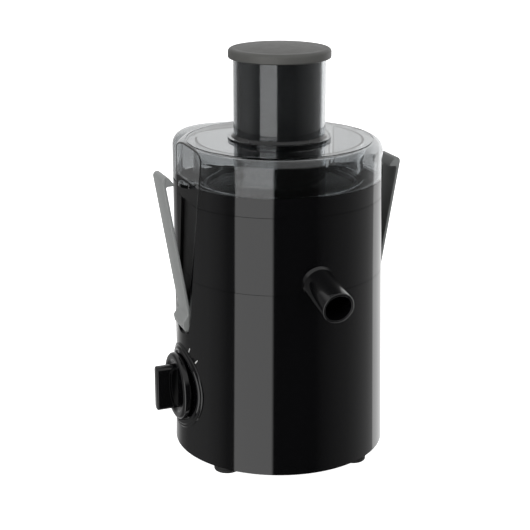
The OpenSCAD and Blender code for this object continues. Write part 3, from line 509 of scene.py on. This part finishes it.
def surface(name, grid, look, wrap_rows=True, wrap_columns=False, end_faces=False):
    """Skin over a grid (rows, columns, 3): point (i, j) makes a quad with its next row and column.
    end_faces closes the first and the last row with one face each."""
    rows, columns = grid.shape[:2]
    i, j = np.meshgrid(np.arange(rows - (not wrap_rows)), np.arange(columns - (not wrap_columns)),
                       indexing="ij")
    i2, j2 = (i + 1) % rows, (j + 1) % columns
    quads = np.stack([i * columns + j, i * columns + j2, i2 * columns + j2, i2 * columns + j], -1)
    faces = quads.reshape(-1, 4).tolist()
    if end_faces:
        faces += [list(range(columns)), list(range((rows - 1) * columns, rows * columns))]
    return mesh_object(name, grid.reshape(-1, 3), faces, look)


def stands_for(piece, body, slot_name, *nodes):
    """Lets a piece ride on a body and stand for CAD nodes, which are hidden. slot_name is not used.
    """
    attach(piece, body)
    if nodes:
        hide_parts(*nodes)


def corners_mm(node):
    """Lowest and highest corner of a CAD node in mm."""
    return [np.array(corner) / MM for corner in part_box(node)]

# %% [markdown]
# ## The lid and its dark band
# The lid is one moulding in clear smoke plastic. Where it slips over the collector's rim, the black
# plastic behind it fills the view, so that this band reads as gloss black. A copy of the CAD lid is
# welded, cut level with the top of that rim and across where the rim ends, and its lower outer
# faces in front of that take the black finish. The cuts only add edges, so the shape stays exact.

# %% Lid
band_top = corners_mm("juice_collector")[1][2]
BAND_BACK, BAND_INNER_RADIUS = 48.3, 75.5
LID_SMOOTH_UP_TO = math.radians(9)
lid_mesh = bpy.data.meshes.new("lid_clear")
work = bmesh.new()
work.from_mesh(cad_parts["lid"].data)
bmesh.ops.remove_doubles(work, verts=work.verts, dist=WELD_M)
for place, normal in (((0, 0, band_top * MM), (0, 0, 1)), ((0, BAND_BACK * MM, 0), (0, 1, 0))):
    bmesh.ops.bisect_plane(work, geom=[*work.verts, *work.edges, *work.faces], dist=1e-6,
                           plane_co=place, plane_no=normal)
for face in work.faces:
    centre = face.calc_center_median()
    outer = math.hypot(centre.x, centre.y) > BAND_INNER_RADIUS * MM
    in_front = centre.y < BAND_BACK * MM
    face.material_index = int(outer and in_front and centre.z < band_top * MM)
lid_mesh.materials.append(smoke_san)
lid_mesh.materials.append(gloss_abs)
work.to_mesh(lid_mesh)
work.free()
# The normals that came with the CAD mesh are dropped, so that the angle below decides
for attribute in [a for a in lid_mesh.attributes if a.name == "custom_normal"]:
    lid_mesh.attributes.remove(attribute)
lid_mesh.polygons.foreach_set("use_smooth", np.ones(len(lid_mesh.polygons), bool))
lid_mesh.set_sharp_from_angle(angle=LID_SMOOTH_UP_TO)
lid_clear = bpy.data.objects.new("lid_clear", lid_mesh)
bpy.context.scene.collection.objects.link(lid_clear)
stands_for(lid_clear, "lid", "smoke_clear", "lid")
print("band up to", round(band_top, 1), "mm, lid faces", len(lid_mesh.polygons))

# %% [markdown]
# ## Latches
# Each latch is one moulded lever: a long plate on a round foot, with a head that bends inwards to a
# beak. All of that is one outline seen from the side, carried across the latch's width. The edges
# are rounded by shrinking the outline near both ends, and the foot narrows to a round cup.

# %% Latches
pin_low, pin_high = corners_mm("latch_pin_right")
latch_high = corners_mm("latch_right")[1]
pivot_x, pivot_z = (pin_low[0] + pin_high[0]) / 2, (pin_low[2] + pin_high[2]) / 2
half_width = latch_high[1]
LATCH_LEAN = math.radians(9.8)
HEAD_BELOW_TOP, LATCH_EDGE = 0.2, 0.8
# The foot's sides follow a circle of this radius about a point this far up the lever
CUP_RADIUS, CUP_CENTRE = 17.8, 8.0
head_v = (latch_high[2] - pivot_z) / math.cos(LATCH_LEAN) - HEAD_BELOW_TOP
latch_outline = rounded([
    (-6.2, -6.3, 6.1), (6.3, -6.3, 6.2), (6.3, 4.2, 2.6), (0.6, 9.8, 5), (0.25, head_v, 3.8),
    (-5.2, head_v, 3.2), (-10.3, head_v - 9.0, 0.9), (-2.3, head_v - 8.2, 1.4), (-2.3, 6.3, 3),
    (-6.2, 1.8, 2.6)], steps=8)
lever = across(latch_outline, half_width, LATCH_EDGE)
u, v, w = lever[..., 0], lever[..., 1], lever[..., 2]
cup = np.sqrt(CUP_RADIUS ** 2 - np.minimum(v - CUP_CENTRE, 0) ** 2) / half_width
right_latch = np.stack([pivot_x + u * math.cos(LATCH_LEAN) + v * math.sin(LATCH_LEAN),
                        w * np.minimum(cup, 1),
                        pivot_z - u * math.sin(LATCH_LEAN) + v * math.cos(LATCH_LEAN)], -1)
for side, body in ((1, "latch_right"), (-1, "latch_left")):
    latch = surface(body + "_lever", right_latch * (side, 1, 1), latch_satin, wrap_rows=False,
                    wrap_columns=True, end_faces=True)
    stands_for(latch, body, "latch_grey", body)

# %% [markdown]
# ## Spout
# The spout is a short tube that falls a little towards the glass. Its mouth has a full round lip,
# which is where light gathers, and a small fillet runs into the body. It is a profile turned about
# the falling axis, and at the inner end each line of the tube is cut where it meets the bowl's
# cylinder.

# %% Spout
SEAM_GAP, ROOT_ABOVE_SEAM = 0.3, 8.5
SPOUT_FALL = math.radians(12.5)
SPOUT_RADIUS, SPOUT_BORE, SPOUT_REACH, INNER_END = 13.4, 11.0, 40.0, -20.0
BODY_RADIUS, BOWL_RADIUS = 88.0, 76.3
seam_z = corners_mm("motor_housing")[1][2] + SEAM_GAP
spout_root_z = seam_z + ROOT_ABOVE_SEAM
spout_profile = rounded([
    (SPOUT_BORE, INNER_END, 0), (SPOUT_BORE, SPOUT_REACH, 0.9), (SPOUT_RADIUS, SPOUT_REACH, 1.35),
    (SPOUT_RADIUS, 0.8, 2.5), (14.6, -2.4, 0), (SPOUT_RADIUS, -2.5, 0),
    (SPOUT_RADIUS, INNER_END, 0)])
tube = revolved(spout_profile, 96)
x, up = tube[..., 0], tube[..., 1]
bowl_y = -np.sqrt(BOWL_RADIUS ** 2 - x ** 2)
cut = (-BODY_RADIUS - bowl_y - up * math.sin(SPOUT_FALL)) / math.cos(SPOUT_FALL)
s = np.where(tube[..., 2] < INNER_END / 2, cut, tube[..., 2])
spout_grid = np.stack([x, -BODY_RADIUS - up * math.sin(SPOUT_FALL) - s * math.cos(SPOUT_FALL),
                       spout_root_z + up * math.cos(SPOUT_FALL) - s * math.sin(SPOUT_FALL)], -1)
spout = surface("spout_tube", spout_grid, gloss_abs, wrap_columns=True)
stands_for(spout, "collector", "black_gloss", "juice_spout")

# %% [markdown]
# ## Pusher cap
# The cap is a thick disc with a domed top. Its rim is fully rounded, because a hand presses on it.
# A short spigot below it sits inside the hollow pusher.

# %% Pusher cap
DOME_RISE, SPIGOT_INSET, SPIGOT_WALL = 2.6, 2.5, 2.0
# How far inside the cap's edge the rim ends, the dome starts, and its curve is down by its rise
RIM_ENDS, DOME_STARTS, DOME_FOOT = 4.4, 4.5, 1.5
cap_low, cap_high = corners_mm("pusher_cap")
tube_top = corners_mm("pusher")[1][2]
cap_radius, spigot = cap_high[0], corners_mm("pusher")[1][0] - SPIGOT_INSET
dome_z = cap_high[2] - DOME_RISE
r = np.linspace(cap_radius - DOME_STARTS, 0, 20)
dome = np.stack([r, cap_high[2] - DOME_RISE * (r / (cap_radius - DOME_FOOT)) ** 2], -1)
spigot_bore = spigot - SPIGOT_WALL
rim = rounded([(0, tube_top, 0), (spigot_bore, tube_top, 0), (spigot_bore, cap_low[2], 0.4),
               (spigot, cap_low[2], 0.4), (spigot, tube_top, 0), (cap_radius, tube_top, 1.2),
               (cap_radius, dome_z, 3.0), (cap_radius - RIM_ENDS, dome_z + 0.4, 0)])
cap_profile = np.concatenate([rim, dome])
cap = surface("pusher_cap_dome", revolved(cap_profile, 160), cap_soft)
stands_for(cap, "pusher", "cap_grey", "pusher_cap")

# %% [markdown]
# ## Control dial and its dish
# The dial is a disc with a thick rounded rim and a grip bar across it, and it turns in a shallow
# dish round its edge. The disc is a profile turned about the dial's axis. The dish is such a
# profile too, but it is laid on the housing: each point is pushed out from the tapered round body
# by its height in the profile, so that the ring follows the body all the way round.

# %% Dial disc and grip
dial_low, dial_high = corners_mm("control_dial")
dial_z, dial_radius, dial_back = (dial_low[2] + dial_high[2]) / 2, dial_high[1], dial_high[0]


def on_dial_axis(grid):
    """A grid (a, b, h) about the dial's axis, which points away from the body along -X."""
    return np.stack([dial_back - grid[..., 2], grid[..., 0], dial_z + grid[..., 1]], -1)


disc_profile = rounded([(0, 0, 0), (dial_radius - 1.5, 0, 0), (dial_radius, 1.5, 0.8),
                        (dial_radius, 7.0, 2.6), (dial_radius - 6.0, 7.0, 2.8),
                        (dial_radius - 8.5, 5.2, 2.0), (0, 5.0, 0)])
disc = surface("dial_disc", on_dial_axis(revolved(disc_profile, 144)), gloss_abs)
stands_for(disc, "dial", "black_gloss", "control_dial")

GRIP_LENGTH, GRIP_THICKNESS, GRIP_ROOT, GRIP_EDGE = 40.0, 10.0, 4.0, 1.1
half_l, half_t, grip_end = GRIP_LENGTH / 2, GRIP_THICKNESS / 2, dial_back - dial_low[0]
grip_outline = rounded([(-half_t, -half_l, 4.4), (half_t, -half_l, 4.4), (half_t, half_l, 4.4),
                        (-half_t, half_l, 4.4)], steps=8)
bar = across(grip_outline, (grip_end - GRIP_ROOT) / 2, GRIP_EDGE)
bar[..., 2] += (grip_end + GRIP_ROOT) / 2
grip = surface("dial_grip", on_dial_axis(bar), gloss_abs, wrap_rows=False, wrap_columns=True,
               end_faces=True)
stands_for(grip, "dial", "black_gloss", "control_dial")

# %% Dish round the dial, and two printed marks
FOOT_FLARE, HOUSING_HEIGHT = 3.7, 157.0
# Two printed marks: their angles from the top, their ends from the dial's axis, half their width,
# and where their upper and lower faces lie above the body
MARK_DEGREES = (-24, -42)
MARK_ENDS, MARK_HALF_WIDTH = (38.8, 43.2), 0.45
MARK_TOP, MARK_ROOT = 0.06, -0.3


def on_body(a, b, height):
    """Point at (a, b) from the dial's axis, height above the tapered round body:
    x = -sqrt(R(z)^2 - a^2) - height, where R grows downwards by the flare."""
    z = dial_z + b
    radius = BODY_RADIUS + FOOT_FLARE * (seam_z - z) / HOUSING_HEIGHT
    return np.stack([-np.sqrt(radius ** 2 - a ** 2) - height, a + 0 * z, z], -1)


dish_profile = rounded([
    (30.2, -7.0, 0), (30.2, 1.9, 1.3), (33.2, 2.5, 1.6), (34.5, 1.2, 0.8), (36.0, 1.5, 0.4),
    (36.9, 0.9, 0.4), (37.0, -0.6, 0)])
dish = revolved(dish_profile, 192)
dish_ring = surface("dial_dish", on_body(dish[..., 0], dish[..., 1], dish[..., 2]), gloss_abs,
                    wrap_columns=True)
stands_for(dish_ring, "base", "black_gloss", "dial_bezel")

print_white, tree, shader = finish("pad_print_light_grey", "#c4c4c2", 0.5)
vary(tree, shader, "Roughness", noise(tree, 1.2), 0.42, 0.6)
for number, angle_deg in enumerate(MARK_DEGREES):
    angle = math.radians(90 + angle_deg)
    along, side = np.meshgrid(np.linspace(*MARK_ENDS, 6),
                              np.linspace(-MARK_HALF_WIDTH, MARK_HALF_WIDTH, 3), indexing="ij")
    a = -(along * math.cos(angle) - side * math.sin(angle))
    b = along * math.sin(angle) + side * math.cos(angle)
    mark_top = on_body(a, b, np.full_like(a, MARK_TOP))
    mark_low = on_body(a, b, np.full_like(a, MARK_ROOT))
    ring = np.concatenate([mark_top, mark_low[:, ::-1]], 1)
    mark = surface(f"dial_mark_{number + 1}", ring, print_white, wrap_rows=False, wrap_columns=True,
                   end_faces=True)
    stands_for(mark, "base", "black_gloss")

# %% [markdown]
# ## Filter sheet
# The filter is thin stainless sheet with thousands of small holes. The CAD cone is closed, so the
# real holes are made here: one cell has eight points round its edge and eight round its hole,
# outside and inside, and it is repeated round the cone in rows that are shifted by half a cell.
# Real holes are about 0.6 mm wide. These are 1.3 mm, as fine as keeps the mesh under 200,000
# triangles.

# %% Perforated filter sheet
sheet_low, sheet_high = corners_mm("filter_mesh")
CELLS_ROUND, CELL_ROWS, HOLE_MM, SHEET_MM = 168, 20, 1.3, 0.8
FLOOR_EDGE = 53.0
CELL_POINTS = 32
corner = np.array([(0, 0), (.5, 0), (1, 0), (1, .5), (1, 1), (.5, 1), (0, 1), (0, .5)])
turn = np.radians(-135 + 45 * np.arange(8))
cell_height = (sheet_high[2] - sheet_low[2]) / CELL_ROWS
cell_width = 2 * np.pi * (FLOOR_EDGE + sheet_high[0]) / 2 / CELLS_ROUND
hole = 0.5 + np.stack([np.cos(turn) / cell_width, np.sin(turn) / cell_height], -1) * HOLE_MM / 2
template = np.concatenate([corner, hole])
row, column = np.meshgrid(np.arange(CELL_ROWS), np.arange(CELLS_ROUND), indexing="ij")
around = (column[..., None] + template[:, 0] + 0.5 * (row[..., None] % 2)) / CELLS_ROUND
rise = (row[..., None] + template[:, 1]) / CELL_ROWS
angle = 2 * np.pi * around
outer_r = FLOOR_EDGE + (sheet_high[0] - FLOOR_EDGE) * rise
skins = [np.stack([r * np.cos(angle), r * np.sin(angle),
                   sheet_low[2] + (sheet_high[2] - sheet_low[2]) * rise], -1)
         for r in (outer_r, outer_r - SHEET_MM)]
points = np.stack(skins, 2).reshape(-1, 3)
k = np.arange(8)
n = (k + 1) % 8
cell_faces = np.concatenate([
    np.stack([k, n, n + 8, k + 8], -1), np.stack([n + 16, k + 16, k + 24, n + 24], -1),
    np.stack([k + 8, n + 8, n + 24, k + 24], -1)])
first = CELL_POINTS * np.arange(CELL_ROWS * CELLS_ROUND)
faces = (first[:, None, None] + cell_faces).reshape(-1, 4)
rims = [(first[:CELLS_ROUND], k[:2]), (first[-CELLS_ROUND:], k[4:6])]
for cells, sides in rims:
    edge = np.stack([sides, sides + 1, sides + 17, sides + 16], -1)
    faces = np.concatenate([faces, (cells[:, None, None] + edge).reshape(-1, 4)])
filter_sheet = mesh_object("filter_sheet_perforated", points, faces.tolist(), etched)
stands_for(filter_sheet, "filter", "stainless", "filter_mesh")

# %% [markdown]
# ## Feet
# Four rubber feet, each a turned profile with a soft lower edge, a thin groove round its side and a
# shallow hollow below, which is what makes such a foot grip. The neck and the barb that hold it in
# the base plate are the CAD foot's.

# %% Feet
foot_profile = rounded([
    (0, 0.9, 0), (6.0, 0.9, 0.6), (7.2, 0, 0.4), (11, 0, 1.4), (11, 3.1, 0.1), (10.5, 3.4, 0.1),
    (11, 3.7, 0.1), (11, 6.6, 0.5), (8, 6.6, 0), (8, 9, 0), (3.5, 9, 0), (3.5, 11.4, 0),
    (4.6, 11.4, 0), (3, 13.8, 0), (0, 13.8, 0)])
for number in range(1, 5):
    foot_low, foot_high = corners_mm(f"foot_{number}")
    middle = (foot_low + foot_high) / 2 * (1, 1, 0)
    foot = surface(f"foot_{number}_turned", revolved(foot_profile, 64) + middle, rubber)
    stands_for(foot, "base", "rubber", f"foot_{number}")

# %% Finish with the standard view transform
bpy.context.scene.view_settings.view_transform = "Standard"
